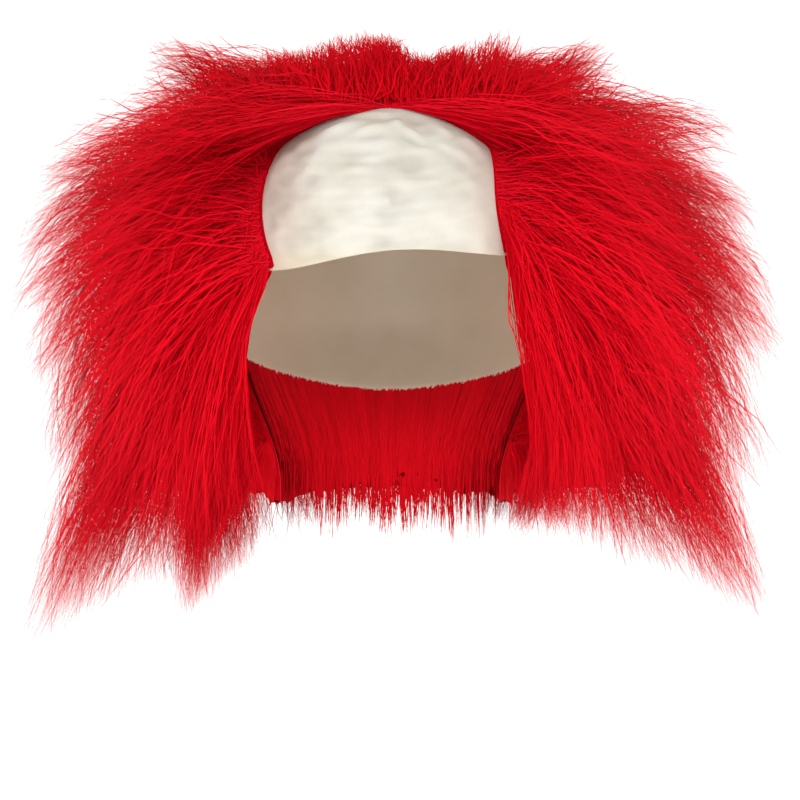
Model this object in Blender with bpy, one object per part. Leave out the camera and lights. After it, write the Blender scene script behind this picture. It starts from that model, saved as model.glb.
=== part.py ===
"""Clown wig: a bald latex cap whose back and sides carry frizzy red hair in tapered locks.

Metres and degrees, +Z up. The wearer faces -Y and the wearer's left is +X. The origin is where the top of the
head touches the inside of the cap, which is how the wig is held up.
"""

import math
import random
from collections import namedtuple

import bpy
import bmesh
from mathutils import Vector

# Head form that the cap is stretched over
HEAD_WIDTH = 0.154
FRONT_LENGTH = 0.094
BACK_LENGTH = 0.100
SIDE_DROP = 0.092
FRONT_DROP = 0.078
BACK_DROP = 0.096
DOME_POWER = 2.15
NECK_WIDTH = 0.112
NECK_BACK = 0.052
NECK_START = 0.112
NECK_END = 0.185
NECK_BOTTOM = 0.340

# Latex cap
CAP_WALL = 0.0015
CAP_COLUMNS = 40
CAP_RINGS = 13
FRONT_CROWDING = 0.35
FRONT_RIM = 0.0725
CORNER_RIM = 0.079
SIDE_RIM = 0.122
BACK_RIM = 0.148
RIM_WAVE = 0.0035
CORNER_AZIMUTH = 40.0
SIDE_AZIMUTH = 68.0

# Hairline: a curved front edge of the hair from the crown through both temples to the corners of
# the latex, and the edge of the side hair below them. Over the crown it is straight.
HAIRLINE_SETBACK = 0.006
HAIRLINE_CROWN_Y = -0.026
HAIRLINE_CORNER_Y = -0.0675
HAIRLINE_CURVE = 0.72
HAIRLINE_STEPS = 7
SIDEBURN_Y = -0.036
SIDEBURN_DEPTH = 0.121

# Hair
PIECE_GAP = 0.0006
BACKING_GAP = 0.0003
BACKING_WALL = 0.0022
CORE_SHARE = 0.62
CORE_SWELL = 0.060
HEM_DEPTH = 0.200
HEM_RINGS = 4
BALD_HALF_WIDTH = 0.048
CROWN_BACK = 0.056
CROWN_RISE = 0.035
CROWN_BOTTOM = 0.060
SIDE_REACH = 0.190
FRONT_REACH = 0.158
BACK_REACH = 0.160
HAIR_CENTRE_BACK = 0.020
HAIR_CENTRE_DROP = 0.110
LOCK_WIDTH = 0.046
LOCK_FLATNESS = 0.55
LOCK_SIDES = 6
LOCK_SINK = 0.008
LOCK_SPAN = 36.0
LOCK_LIFT = 1.5
LOCK_SHORTEST = 0.97
WIDTH_SPREAD = 0.1
PATH_STEP = 0.05
FRONT_SWEEP = 20.0
SWEEP_RANGE = 0.8
ROOT_ANGLE = 24.0
TUFT_WIDTH = 0.036
REGION_SLOPE = 0.7
HAIR_SEED = 7

# Blisters and folds of the stretched latex, as shares of the bald front's half width and height
Fold = namedtuple("Fold", "across down length width tilt rise")
FOLD_LENGTH = 0.012
FOLD_RISE = 0.0014
FOLDS = [
    Fold(across=-0.33, down=0.30, length=0.80, width=0.36, tilt=25, rise=1.0),
    Fold(across=-0.90, down=0.31, length=0.75, width=0.30, tilt=12, rise=0.8),
    Fold(across=-0.30, down=0.10, length=1.10, width=0.34, tilt=0, rise=0.8),
    Fold(across=0.12, down=0.22, length=0.45, width=0.40, tilt=0, rise=1.0),
    Fold(across=0.38, down=0.34, length=0.75, width=0.36, tilt=-28, rise=1.0),
    Fold(across=0.62, down=0.50, length=0.70, width=0.32, tilt=-5, rise=0.7),
    Fold(across=-0.16, down=0.52, length=1.00, width=0.90, tilt=0, rise=0.6),
]

# The hair's outline, one row for each weft from the top down. An angle is from straight up
# round the hair's centre, and a reach is a share of the side or back reach.
Weft = namedtuple("Weft", "left_angle left_reach right_angle right_reach back_reach")
WEFTS = [
    Weft(23, 0.80, 23, 0.80, 0.90),
    Weft(39, 0.93, 42, 0.97, 0.98),
    Weft(52, 0.97, 53, 0.93, 1.00),
    Weft(62, 1.06, 62, 1.02, 1.00),
    Weft(73, 1.00, 71, 1.00, 1.03),
    Weft(84, 1.02, 80, 1.00, 1.00),
    Weft(94, 1.05, 89, 0.98, 1.02),
    Weft(103, 1.00, 99, 0.97, 1.00),
    Weft(113, 1.07, 111, 0.99, 1.05),
    Weft(125, 1.20, 119, 0.96, 1.06),
    Weft(133, 0.96, 132, 1.21, 1.00),
    Weft(141, 0.86, 139, 0.98, 0.88),
    Weft(149, 0.76, 149, 0.84, 0.78),
]

# Azimuths of the lock tips, staggered from weft to weft
SIDE_AZIMUTHS = [(70, 104), (54, 86, 120)]
BACK_AZIMUTHS = [(150, 180, 210), (165, 195)]

# Tufts over the crown, as shares of its half width, its length and its rise
Tuft = namedtuple("Tuft", "across back lean rise")
TUFTS = [
    Tuft(across=-0.78, back=0.16, lean=-0.42, rise=0.80),
    Tuft(across=-0.30, back=0.10, lean=-0.16, rise=1.02),
    Tuft(across=0.18, back=0.10, lean=0.02, rise=0.72),
    Tuft(across=0.66, back=0.12, lean=0.16, rise=0.92),
    Tuft(across=-0.60, back=0.52, lean=-0.16, rise=0.92),
    Tuft(across=0.02, back=0.48, lean=0.05, rise=0.88),
    Tuft(across=0.60, back=0.50, lean=0.14, rise=0.84),
    Tuft(across=-0.32, back=0.86, lean=-0.10, rise=0.78),
    Tuft(across=0.36, back=0.86, lean=0.08, rise=0.80),
]

# How wide a lock is along its length, as shares of its width
Station = namedtuple("Station", "along width")
LOCK_STATIONS = [
    Station(0.00, 0.60),
    Station(0.35, 1.00),
    Station(0.62, 0.92),
    Station(0.84, 0.50),
]

LATEX = {"color": (0.80, 0.77, 0.66, 1.0), "roughness": 0.45}
HAIR = {"color": (0.62, 0.004, 0.018, 1.0), "roughness": 0.60}


def smooth(value):
    """Eases from 0 to 1."""
    value = min(1.0, max(0.0, value))
    return value * value * (3.0 - 2.0 * value)


def blend(low, high, share):
    return low + (high - low) * share


def dome_share(depth, full_depth):
    """How far a dome has spread at this depth under its crown, from 0 to 1."""
    if depth >= full_depth:
        return 1.0
    return (1.0 - (1.0 - depth / full_depth) ** DOME_POWER) ** (1.0 / DOME_POWER)


def head_radii(depth):
    """Half width, front length and back length of the head and neck at this depth."""
    neck = smooth((depth - NECK_START) / (NECK_END - NECK_START))
    half_width = blend(HEAD_WIDTH / 2.0, NECK_WIDTH / 2.0, neck) * dome_share(depth, SIDE_DROP)
    front = FRONT_LENGTH * dome_share(depth, FRONT_DROP)
    back = blend(BACK_LENGTH, NECK_BACK, neck) * dome_share(depth, BACK_DROP)
    return half_width, front, back


def head_point(azimuth, depth):
    """Point of the head form. Azimuth is 0 at the front, and positive to the wearer's left."""
    half_width, front, back = head_radii(depth)
    along = front if math.cos(azimuth) > 0.0 else back
    if min(half_width, along) <= 0.0:
        return Vector((0.0, 0.0, -depth))
    reach = 1.0 / math.hypot(math.sin(azimuth) / half_width, math.cos(azimuth) / along)
    return Vector((reach * math.sin(azimuth), -reach * math.cos(azimuth), -depth))


def head_normal(azimuth, depth):
    """Outward direction of the head form."""
    step = 0.001
    if depth < step:
        return Vector((0.0, 0.0, 1.0))
    across = head_point(azimuth + step, depth) - head_point(azimuth - step, depth)
    down = head_point(azimuth, depth + step) - head_point(azimuth, depth - step)
    return down.cross(across).normalized()


def rim_depth(azimuth):
    """Depth of the cap's lower edge: high on the forehead, low behind the ears."""
    turn = abs(math.degrees(math.remainder(azimuth, math.tau)))
    depth = blend(FRONT_RIM, CORNER_RIM, smooth(turn / CORNER_AZIMUTH))
    depth = blend(depth, SIDE_RIM, smooth((turn - CORNER_AZIMUTH) / (SIDE_AZIMUTH - CORNER_AZIMUTH)))
    depth = blend(depth, BACK_RIM, smooth((turn - SIDE_AZIMUTH) / (180.0 - SIDE_AZIMUTH)))
    fade = smooth((SIDE_AZIMUTH - turn) / (SIDE_AZIMUTH - CORNER_AZIMUTH))
    return depth - RIM_WAVE * fade * math.sin(math.pi / 2.0 * math.degrees(
        math.remainder(azimuth, math.tau)) / CORNER_AZIMUTH)


def fold_rise(point):
    """Height of the latex's blisters and folds at a point of the bald front."""
    if point.y > 0.0:
        return 0.0
    rise = 0.0
    for fold in FOLDS:
        across = point.x - fold.across * BALD_HALF_WIDTH
        down = -point.z - fold.down * FRONT_RIM
        turn = math.radians(fold.tilt)
        along = across * math.cos(turn) - down * math.sin(turn)
        aside = across * math.sin(turn) + down * math.cos(turn)
        size = math.hypot(along / (fold.length * FOLD_LENGTH), aside / (fold.width * FOLD_LENGTH))
        rise += fold.rise * FOLD_RISE * math.exp(-size * size)
    return rise


def form_point(azimuth, depth, offset):
    """Point at this distance outside the head form, with the folds of the latex."""
    base = head_point(azimuth, depth)
    return base + head_normal(azimuth, depth) * (offset + fold_rise(base))


def ring_depths(azimuth):
    """Depths of the cap's rings at this azimuth, below the crown point."""
    rim = rim_depth(azimuth)
    turns = (math.pi / 2.0 * ring / CAP_RINGS for ring in range(1, CAP_RINGS + 1))
    return [rim * (1.0 - math.cos(turn)) for turn in turns]


def cap_azimuths():
    """Azimuths of the cap's columns, which lie closer together at the front."""
    turns = (math.tau * column / CAP_COLUMNS for column in range(CAP_COLUMNS))
    return [turn - FRONT_CROWDING * math.sin(turn) for turn in turns]


def dome_rings(mesh, offset, bottom=0.0, lower_rings=0, shape=lambda point: point):
    """Rings of points over the head form, from the crown down to the rim and on to the bottom."""
    crown = mesh.verts.new(shape(Vector((0.0, 0.0, offset))))
    columns = []
    for azimuth in cap_azimuths():
        depths = ring_depths(azimuth)
        depths += [blend(depths[-1], bottom, ring / lower_rings)
                   for ring in range(1, lower_rings + 1)]
        columns.append([mesh.verts.new(shape(form_point(azimuth, depth, offset)))
                        for depth in depths])
    return crown, columns


def skin_dome(mesh, crown, columns, outward=True):
    """Triangles, so that the cap and the space cut out for it are split along the same lines."""
    for column, ring in enumerate(columns):
        beside = columns[(column + 1) % len(columns)]
        faces = [(crown, ring[0], beside[0])]
        for i in range(len(ring) - 1):
            faces.append((ring[i], ring[i + 1], beside[i + 1]))
            faces.append((ring[i], beside[i + 1], beside[i]))
        for corners in faces:
            mesh.faces.new(corners if outward else corners[::-1])


def new_object(name, mesh, look=None, collection=None):
    """Turns a bmesh into an object. One with no look is a helper, which isn't part of the wig."""
    bmesh.ops.recalc_face_normals(mesh, faces=mesh.faces)
    data = bpy.data.meshes.new(name)
    mesh.to_mesh(data)
    mesh.free()
    made = bpy.data.objects.new(name, data)
    (collection or bpy.context.scene.collection).objects.link(made)
    if look is None:
        made.hide_render = True
        made.display_type = "WIRE"
    else:
        data.materials.append(look)
        data.shade_smooth()
        data.set_sharp_from_angle(angle=math.radians(50.0))
    return made


def material(name, settings):
    made = bpy.data.materials.new(name)
    made.use_nodes = True
    shader = made.node_tree.nodes["Principled BSDF"]
    shader.inputs["Base Color"].default_value = settings["color"]
    shader.inputs["Roughness"].default_value = settings["roughness"]
    shader.inputs["Metallic"].default_value = 0.0
    made.diffuse_color = settings["color"]
    return made


def close_wall(mesh, inner, outer):
    """Joins the lowest rings of a wall's two sides."""
    for column, ring in enumerate(outer):
        beside = (column + 1) % len(outer)
        mesh.faces.new((ring[-1], inner[column][-1], inner[beside][-1], outer[beside][-1]))


def bald_cap(look):
    """The latex cap: one wall over the head form, open below."""
    mesh = bmesh.new()
    inner_crown, inner = dome_rings(mesh, 0.0)
    outer_crown, outer = dome_rings(mesh, CAP_WALL)
    skin_dome(mesh, inner_crown, inner, outward=False)
    skin_dome(mesh, outer_crown, outer)
    close_wall(mesh, inner, outer)
    return new_object("bald_cap", mesh, look)


def hair_core(name, look):
    """The dense inner hair: thin along the hairline, thick at the sides and back."""
    mesh = bmesh.new()
    below = {"bottom": HEM_DEPTH, "lower_rings": HEM_RINGS}
    inner_crown, inner = dome_rings(mesh, CAP_WALL / 2.0, **below)
    outer_crown, outer = dome_rings(mesh, CAP_WALL, shape=core_point, **below)
    skin_dome(mesh, inner_crown, inner, outward=False)
    skin_dome(mesh, outer_crown, outer)
    close_wall(mesh, inner, outer)
    return new_object(name, mesh, look)


def wearer_space():
    """Everything inside the hair: the cap with its gap, and the wearer's face and neck."""
    mesh = bmesh.new()
    crown, columns = dome_rings(mesh, CAP_WALL + BACKING_GAP, NECK_BOTTOM, 2 * HEM_RINGS)
    skin_dome(mesh, crown, columns)
    mesh.faces.new([column[-1] for column in columns])
    return new_object("wearer_space", mesh)


def prism(name, outline, low, high):
    """An upright block with this outline in plan."""
    mesh = bmesh.new()
    floor = mesh.faces.new([mesh.verts.new((x, y, low)) for x, y in outline])
    raised = bmesh.ops.extrude_face_region(mesh, geom=[floor])["geom"]
    bmesh.ops.translate(
        mesh,
        vec=(0.0, 0.0, high - low),
        verts=[item for item in raised if isinstance(item, bmesh.types.BMVert)],
    )
    return new_object(name, mesh)


def hairline_y(depth):
    """How far back the hair starts at this depth."""
    share = min(1.0, max(0.0, depth / CORNER_RIM)) ** HAIRLINE_CURVE
    upper = min(HAIRLINE_CROWN_Y, blend(HAIRLINE_SETBACK, HAIRLINE_CORNER_Y, share))
    lower = smooth((depth - CORNER_RIM) / (SIDEBURN_DEPTH - CORNER_RIM))
    return blend(upper, SIDEBURN_Y, lower)


def bald_front():
    """The block of space in front of the hairline, which cuts the hair's core."""
    far = SIDE_REACH * 2.0
    depths = [CORNER_RIM * step / HAIRLINE_STEPS for step in range(HAIRLINE_STEPS + 1)]
    corners = [(HAIRLINE_CROWN_Y, far)]
    corners += [(hairline_y(depth), -depth) for depth in depths + [SIDEBURN_DEPTH]]
    corners += [(SIDEBURN_Y, -far), (-far, -far), (-far, far)]
    mesh = bmesh.new()
    face = mesh.faces.new([mesh.verts.new((-far, y, z)) for y, z in corners])
    raised = bmesh.ops.extrude_face_region(mesh, geom=[face])["geom"]
    bmesh.ops.translate(
        mesh,
        vec=(2.0 * far, 0.0, 0.0),
        verts=[item for item in raised if isinstance(item, bmesh.types.BMVert)],
    )
    return new_object("bald_front", mesh)


def hair_centre():
    return Vector((0.0, HAIR_CENTRE_BACK, -HAIR_CENTRE_DROP))


def outline_share(angle, angles, reaches):
    """Reach of the hair's outline at an angle, between the wefts beside it."""
    steps = list(zip(angles, reaches))
    for (low, near), (high, far) in zip(steps, steps[1:]):
        if angle < high:
            return blend(near, far, max(0.0, (angle - low) / (high - low)))
    return steps[-1][1]


def hair_reach(azimuth, angle):
    """Distance from the hair's centre to its outline. The angle is from straight up, in degrees."""
    left = outline_share(angle, [w.left_angle for w in WEFTS], [w.left_reach for w in WEFTS])
    right = outline_share(angle, [w.right_angle for w in WEFTS], [w.right_reach for w in WEFTS])
    back = outline_share(angle, [w.left_angle for w in WEFTS], [w.back_reach for w in WEFTS])
    side = left if math.sin(azimuth) > 0.0 else right
    share = math.cos(azimuth) ** 2
    if math.cos(azimuth) > 0.0:
        return blend(SIDE_REACH * side, FRONT_REACH * side, share)
    return blend(SIDE_REACH * side, BACK_REACH * back, share)


def hair_direction(azimuth, angle):
    flat = math.sin(math.radians(angle))
    return Vector((flat * math.sin(azimuth), -flat * math.cos(azimuth),
                   math.cos(math.radians(angle))))


def core_point(base):
    """Where the dense hair over a point of the head form ends."""
    reach = base - hair_centre()
    azimuth = math.atan2(reach.x, -reach.y)
    angle = math.degrees(math.acos(reach.z / reach.length))
    thickness = (hair_reach(azimuth, angle) - reach.length) * CORE_SHARE
    behind = smooth((base.y - hairline_y(-base.z)) / CORE_SWELL)
    return base + reach.normalized() * (BACKING_WALL + max(0.0, thickness) * behind)


def lock_path(root, tip, share):
    """Point on a lock that leaves the core's surface and ends on the hair's outline. Root and tip
    are each an azimuth, an angle from straight up and a distance from the hair's centre."""
    azimuth, angle = (blend(root[i], tip[i], share) for i in (0, 1))
    distance = blend(root[2], tip[2], share ** LOCK_LIFT)
    return hair_centre() + hair_direction(azimuth, angle) * distance


def add_lock(bundle, path, width):
    """A tapered lock round a path, flatter than it is wide, that ends in a point."""
    mesh = bmesh.new()
    rings = []
    for station in LOCK_STATIONS:
        middle = path(station.along)
        heading = path(station.along + PATH_STEP) - middle
        above = middle - hair_centre()
        aside = heading.cross(above).normalized()
        above = aside.cross(heading).normalized()
        ring = []
        for corner in range(LOCK_SIDES):
            turn = math.tau * corner / LOCK_SIDES
            wide = aside * math.cos(turn) * width / 2.0 * station.width
            high = above * math.sin(turn) * width / 2.0 * station.width * LOCK_FLATNESS
            ring.append(mesh.verts.new(middle + wide + high))
        rings.append(ring)
    tip = mesh.verts.new(path(1.0))
    mesh.faces.new(rings[0][::-1])
    for ring, beyond in zip(rings, rings[1:]):
        for corner in range(LOCK_SIDES):
            other = (corner + 1) % LOCK_SIDES
            mesh.faces.new((ring[corner], ring[other], beyond[other], beyond[corner]))
    for corner in range(LOCK_SIDES):
        mesh.faces.new((rings[-1][corner], rings[-1][(corner + 1) % LOCK_SIDES], tip))
    new_object("lock", mesh, collection=bundle)


def core_distance(azimuth, angle):
    """Distance from the hair's centre at which a lock starts, a little inside the core."""
    direction = hair_direction(azimuth, angle)
    low, high = 0.0, SIDE_REACH
    for _ in range(20):
        middle = (low + high) / 2.0
        place = hair_centre() + direction * middle
        radii = head_radii(max(0.0, -place.z))
        along = radii[1] if place.y < 0.0 else radii[2]
        inside = min(radii[0], along) > 0.0 and place.z < 0.0 and math.hypot(
            place.x / radii[0], place.y / along) < 1.0
        low, high = (middle, high) if inside else (low, middle)
    base = hair_centre() + direction * low
    return max(low, (core_point(base) - hair_centre()).length - LOCK_SINK)


def new_bundle(name):
    """A collection of locks that one section of hair is fused from."""
    bundle = bpy.data.collections.new(name)
    bpy.context.scene.collection.children.link(bundle)
    return bundle


def varied(rng):
    """A lock's width as a share of the usual one."""
    return rng.uniform(1.0 - WIDTH_SPREAD, 1.0 + WIDTH_SPREAD)


def add_weft(bundle, tips, rng):
    """The locks of one weft. Each tip is an azimuth in degrees, an angle and a reach."""
    for degrees, angle, reach in tips:
        azimuth = math.remainder(math.radians(degrees), math.tau)
        side = math.copysign(1.0, azimuth)
        sweep = math.radians(FRONT_SWEEP) * max(0.0, math.cos(azimuth * SWEEP_RANGE))
        root_azimuth = azimuth - side * sweep
        root_angle = max(ROOT_ANGLE, angle - LOCK_SPAN)
        root = (root_azimuth, root_angle, core_distance(root_azimuth, root_angle))
        tip = (azimuth, angle, reach * rng.uniform(LOCK_SHORTEST, 1.0))
        add_lock(bundle, lambda share, a=root, b=tip: lock_path(a, b, share),
                 LOCK_WIDTH * varied(rng))


def side_locks(name, side, rng):
    """Locks of one side of the head. Side is 1 for the wearer's left and -1 for the right."""
    bundle = new_bundle(name)
    for row, weft in enumerate(WEFTS):
        angle = weft.left_angle if side > 0 else weft.right_angle
        azimuths = SIDE_AZIMUTHS[row % 2]
        add_weft(bundle, [(side * degrees, angle, hair_reach(side * math.radians(degrees), angle))
                          for degrees in azimuths], rng)
    return bundle


def back_locks(name, rng):
    bundle = new_bundle(name)
    for row, weft in enumerate(WEFTS[1::2] + WEFTS[-1:]):
        azimuths = BACK_AZIMUTHS[row % 2]
        add_weft(bundle, [(degrees, weft.left_angle, hair_reach(math.pi, weft.left_angle))
                          for degrees in azimuths], rng)
    return bundle


def crown_locks(name, rng):
    """Short tufts that stand up behind the top of the bald front."""
    bundle = new_bundle(name)
    for tuft in TUFTS:
        across = tuft.across * BALD_HALF_WIDTH
        back = blend(HAIRLINE_CROWN_Y, CROWN_BACK, tuft.back)
        root = Vector((across, back, -depth_under(across, back) + CAP_WALL + BACKING_WALL / 2.0))
        tip = Vector((across + tuft.lean * BALD_HALF_WIDTH, back, CROWN_RISE * tuft.rise))
        add_lock(bundle, lambda share, a=root, b=tip: a.lerp(b, share),
                 TUFT_WIDTH * varied(rng))
    return bundle


def depth_under(across, back):
    """Depth of the head form straight under a point of the plan."""
    low, high = 0.0, SIDE_DROP
    azimuth = math.atan2(across, -back)
    for _ in range(30):
        middle = (low + high) / 2.0
        if head_point(azimuth, middle).xy.length < math.hypot(across, back):
            low = middle
        else:
            high = middle
    return high


def combine(target, operation, other):
    """Adds a Boolean. The locks cross so often that only the MANIFOLD solver closes their union."""
    modifier = target.modifiers.new(operation.title(), "BOOLEAN")
    modifier.operation = operation
    modifier.solver = "MANIFOLD"
    if isinstance(other, bpy.types.Collection):
        modifier.operand_type = "COLLECTION"
        modifier.collection = other
    else:
        modifier.object = other


def main_body(mesh):
    """Drops the crumbs and the tiny voids between locks, which are bodies of their own."""
    unseen = set(mesh.verts)
    bodies = []
    while unseen:
        body, edge = set(), {unseen.pop()}
        while edge:
            body |= edge
            edge = {link.other_vert(vert) for vert in edge for link in vert.link_edges} - body
        unseen -= body
        bodies.append(body)
    largest = max(bodies, key=len)
    crumbs = [vert for vert in mesh.verts if vert not in largest]
    bmesh.ops.delete(mesh, geom=crumbs, context="VERTS")


def hair_piece(name, locks, region, wearer, front, look):
    """One section of hair: its core and locks, fused, inside its region and outside the head."""
    piece = hair_core(name, look)
    combine(piece, "DIFFERENCE", front)
    combine(piece, "UNION", locks)
    combine(piece, "INTERSECT", region)
    combine(piece, "DIFFERENCE", wearer)
    bpy.context.view_layer.update()
    fused = piece.evaluated_get(bpy.context.evaluated_depsgraph_get())
    mesh = bmesh.new()
    mesh.from_mesh(fused.data)
    main_body(mesh)
    piece.modifiers.clear()
    mesh.to_mesh(piece.data)
    mesh.free()
    return piece


def regions():
    """Plan outlines of the four hair sections, which leave a small gap between them."""
    far = SIDE_REACH * 2.0
    half = PIECE_GAP / 2.0
    wide = BALD_HALF_WIDTH
    back = CROWN_BACK
    left = [(wide + half, -far), (far, -far), (far, far), (wide + half + far * REGION_SLOPE, far),
            (wide + half, back)]
    tail = [(wide - half, back + half), (wide - half + far * REGION_SLOPE, far),
            (-wide + half - far * REGION_SLOPE, far), (-wide + half, back + half)]
    crown = [(wide - half, -far), (wide - half, back - half), (-wide + half, back - half),
             (-wide + half, -far)]
    return {
        "hair_left": left,
        "hair_right": [(-x, y) for x, y in left],
        "hair_back": tail,
        "hair_crown": crown,
    }


def clear_scene():
    for item in list(bpy.data.objects):
        bpy.data.objects.remove(item, do_unlink=True)


def main():
    clear_scene()
    latex = material("latex", LATEX)
    hair = material("red_hair", HAIR)
    bald_cap(latex)
    wearer = wearer_space()
    front = bald_front()
    rng = random.Random(HAIR_SEED)
    locks = {
        "hair_left": side_locks("left_locks", 1, rng),
        "hair_right": side_locks("right_locks", -1, rng),
        "hair_back": back_locks("back_locks", rng),
        "hair_crown": crown_locks("crown_locks", rng),
    }
    for name, outline in regions().items():
        bottom = CROWN_BOTTOM if name == "hair_crown" else 2.0 * SIDE_REACH
        region = prism(name + "_region", outline, -bottom, SIDE_REACH)
        hair_piece(name, locks[name], region, wearer, front, hair)


main()
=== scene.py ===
"""Dresses the clown wig: wrinkled latex over the bald cap, and crimped red hair strand by strand."""

import math
from collections import namedtuple

import bpy
import numpy as np
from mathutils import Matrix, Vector


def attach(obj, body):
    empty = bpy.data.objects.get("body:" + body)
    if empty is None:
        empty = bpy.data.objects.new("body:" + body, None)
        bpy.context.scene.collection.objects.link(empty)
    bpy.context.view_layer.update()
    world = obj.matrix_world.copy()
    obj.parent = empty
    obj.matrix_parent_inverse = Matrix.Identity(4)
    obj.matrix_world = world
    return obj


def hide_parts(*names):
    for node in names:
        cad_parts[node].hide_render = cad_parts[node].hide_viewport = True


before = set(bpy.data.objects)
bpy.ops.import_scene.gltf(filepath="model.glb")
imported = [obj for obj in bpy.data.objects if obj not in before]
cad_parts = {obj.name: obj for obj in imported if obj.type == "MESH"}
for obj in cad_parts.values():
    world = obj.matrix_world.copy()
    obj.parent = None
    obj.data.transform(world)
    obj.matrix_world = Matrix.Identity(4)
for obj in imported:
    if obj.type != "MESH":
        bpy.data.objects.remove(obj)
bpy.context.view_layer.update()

# Head form inside the cap, in metres
HEAD_HALF_WIDTH = 0.077
FRONT_LENGTH = 0.094
BACK_LENGTH = 0.100
SIDE_DROP = 0.092
FRONT_DROP = 0.078
BACK_DROP = 0.096
DOME_POWER = 2.15
NECK_HALF_WIDTH = 0.056
NECK_BACK = 0.052
NECK_START = 0.112
NECK_END = 0.185

# Edge of the latex
FRONT_RIM = 0.0725
CORNER_RIM = 0.079
SIDE_RIM = 0.122
BACK_RIM = 0.148
RIM_WAVE = 0.0035
CORNER_AZIMUTH = 40.0
SIDE_AZIMUTH = 68.0
CAP_WALL = 0.0015

# Hairline
HAIRLINE_SETBACK = 0.006
HAIRLINE_CROWN_Y = -0.042
CROWN_FLAT = 0.009
CROWN_SLOPE = 0.90
HAIRLINE_CORNER_Y = -0.0675
HAIRLINE_CURVE = 0.72
SIDEBURN_Y = -0.036
SIDEBURN_DEPTH = 0.121
# How much further forward it lies on the wearer's left, and on both sides near the top
LEFT_LEAD = 0.0180
LEAD_TOP = 0.0072
TOP_LEAD = 0.0028
TOP_LEAD_DEPTH = 0.016
TOP_LEAD_SPREAD = 0.012

# Hair mass. The outline is measured from the hair's centre, which lies inside the head.
CENTRE = np.array([0.0, 0.020, -0.110])
FRONT_SHARE = 0.83
HEM_DEPTH = 0.194
HEM_TAPER = 0.150
BASE_SHARE = 0.52
BACK_BASE_SHARE = 0.30
BACK_START = 95.0
BACK_SPREAD = 45.0
BASE_SWELL = 0.050
BASE_SOFTNESS = 16.0

# The hair's outline in the photo's view, clockwise and anticlockwise from straight up: the angle
# in degrees round the hair's centre and the reach in metres. Tips and the notches between them.
Edge = namedtuple("Edge", "angle reach")
RIGHT_EDGE = [Edge(*row) for row in (
    (0, 0.143), (7, 0.146), (16, 0.138), (22, 0.146), (30, 0.148), (37.6, 0.164), (42.4, 0.184),
    (46, 0.166), (51, 0.175), (56, 0.176), (60.6, 0.191), (68, 0.192), (73, 0.187), (78, 0.191),
    (84, 0.185), (88.5, 0.190), (94, 0.178), (99, 0.184), (106, 0.172), (113, 0.188), (119, 0.179),
    (121, 0.176), (123.2, 0.194), (127.4, 0.215), (130, 0.232), (132.2, 0.240), (133.8, 0.202),
    (136, 0.174), (139, 0.164), (142.2, 0.170), (145.6, 0.180), (147.6, 0.142), (151, 0.124),
    (160, 0.108), (180, 0.095),
)]
LEFT_EDGE = [Edge(*row) for row in (
    (0, 0.143), (8, 0.130), (12, 0.136), (17.7, 0.148), (23, 0.136), (30, 0.140), (39, 0.175),
    (45, 0.168), (51, 0.170), (57, 0.180), (61.6, 0.200), (65, 0.184), (68.4, 0.190), (74.3, 0.192),
    (80, 0.184), (85.5, 0.193), (90, 0.186), (95.2, 0.199), (101.7, 0.188), (106, 0.176),
    (110.4, 0.199), (114.2, 0.206), (118.8, 0.177), (120.5, 0.190), (124, 0.210), (128, 0.238),
    (129.8, 0.206), (131, 0.180), (133.5, 0.170), (136.5, 0.158), (140, 0.138), (146, 0.126),
    (152, 0.116), (165, 0.100), (180, 0.090),
)]
BACK_EDGE = [Edge(*row) for row in (
    (0, 0.143), (20, 0.140), (40, 0.150), (60, 0.158), (90, 0.162), (120, 0.158), (135, 0.146),
    (150, 0.118), (165, 0.098), (180, 0.090),
)]

# Folds and blisters of the stretched latex, in millimetres from the crown: across to the wearer's
# left, down the front, half length, half width, turn in degrees and rise
Fold = namedtuple("Fold", "across down length width turn rise")
FOLDS = [Fold(*row) for row in (
    (-9.7, 18.0, 6.5, 1.7, 14, 1.6), (-9.5, 21.1, 6.0, 1.6, 14, -0.8),
    (3.2, 14.8, 3.0, 1.8, 0, 1.5), (9.5, 19.1, 5.0, 1.7, -28, 1.6),
    (9.0, 22.2, 5.0, 1.5, -28, -0.7), (-24.0, 17.6, 5.5, 1.7, 14, 1.2),
    (-8.0, 9.1, 9.0, 1.9, 4, 1.3), (-7.0, 12.7, 8.0, 1.6, 0, -0.8), (14.0, 27.3, 6.0, 1.8, -4, 1.3),
    (-3.0, 24.5, 8.0, 5.5, 0, 0.9), (-10.0, 31.0, 6.5, 1.7, 3, 0.9),
    (-14.0, 35.8, 5.5, 1.7, 0, 0.8), (26.0, 26.3, 4.0, 1.7, -20, 0.9),
    (25.0, 18.6, 5.0, 1.7, -30, 1.0), (-33.0, 27.2, 2.4, 5.0, 0, 0.8),
    (-36.0, 34.4, 4.0, 2.0, 40, 0.8), (1.5, 49.2, 1.8, 2.4, 0, -0.7),
    (-12.0, 62.4, 12.0, 1.7, -6, 0.7), (8.0, 41.5, 16.0, 1.5, 0, 0.6),
)]

SEED = 11
rng = np.random.default_rng(SEED)

# A whole turn in radians
TURN = 2.0 * math.pi
# Least sizes, which keep divisions from failing, and the depth at which the head form starts
TINY = 1e-12
LEAST_SIZE = 1e-6
CROWN_START = 2e-5

# How exactly surfaces are worked out
NORMAL_STEP = 0.0006
HAIRLINE_HALVINGS = 30
SOFT_SAMPLES = 5
WAVE_COUNT = 24
WAVE_SIZES = (0.6, 1.6)

# How far the outlines of the two sides blend into each other over the crown
SIDE_BLEND = 0.5


def smooth(value):
    value = np.clip(value, 0, 1)
    return value * value * (3.0 - 2.0 * value)


def blend(low, high, share):
    return low + (high - low) * share


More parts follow.
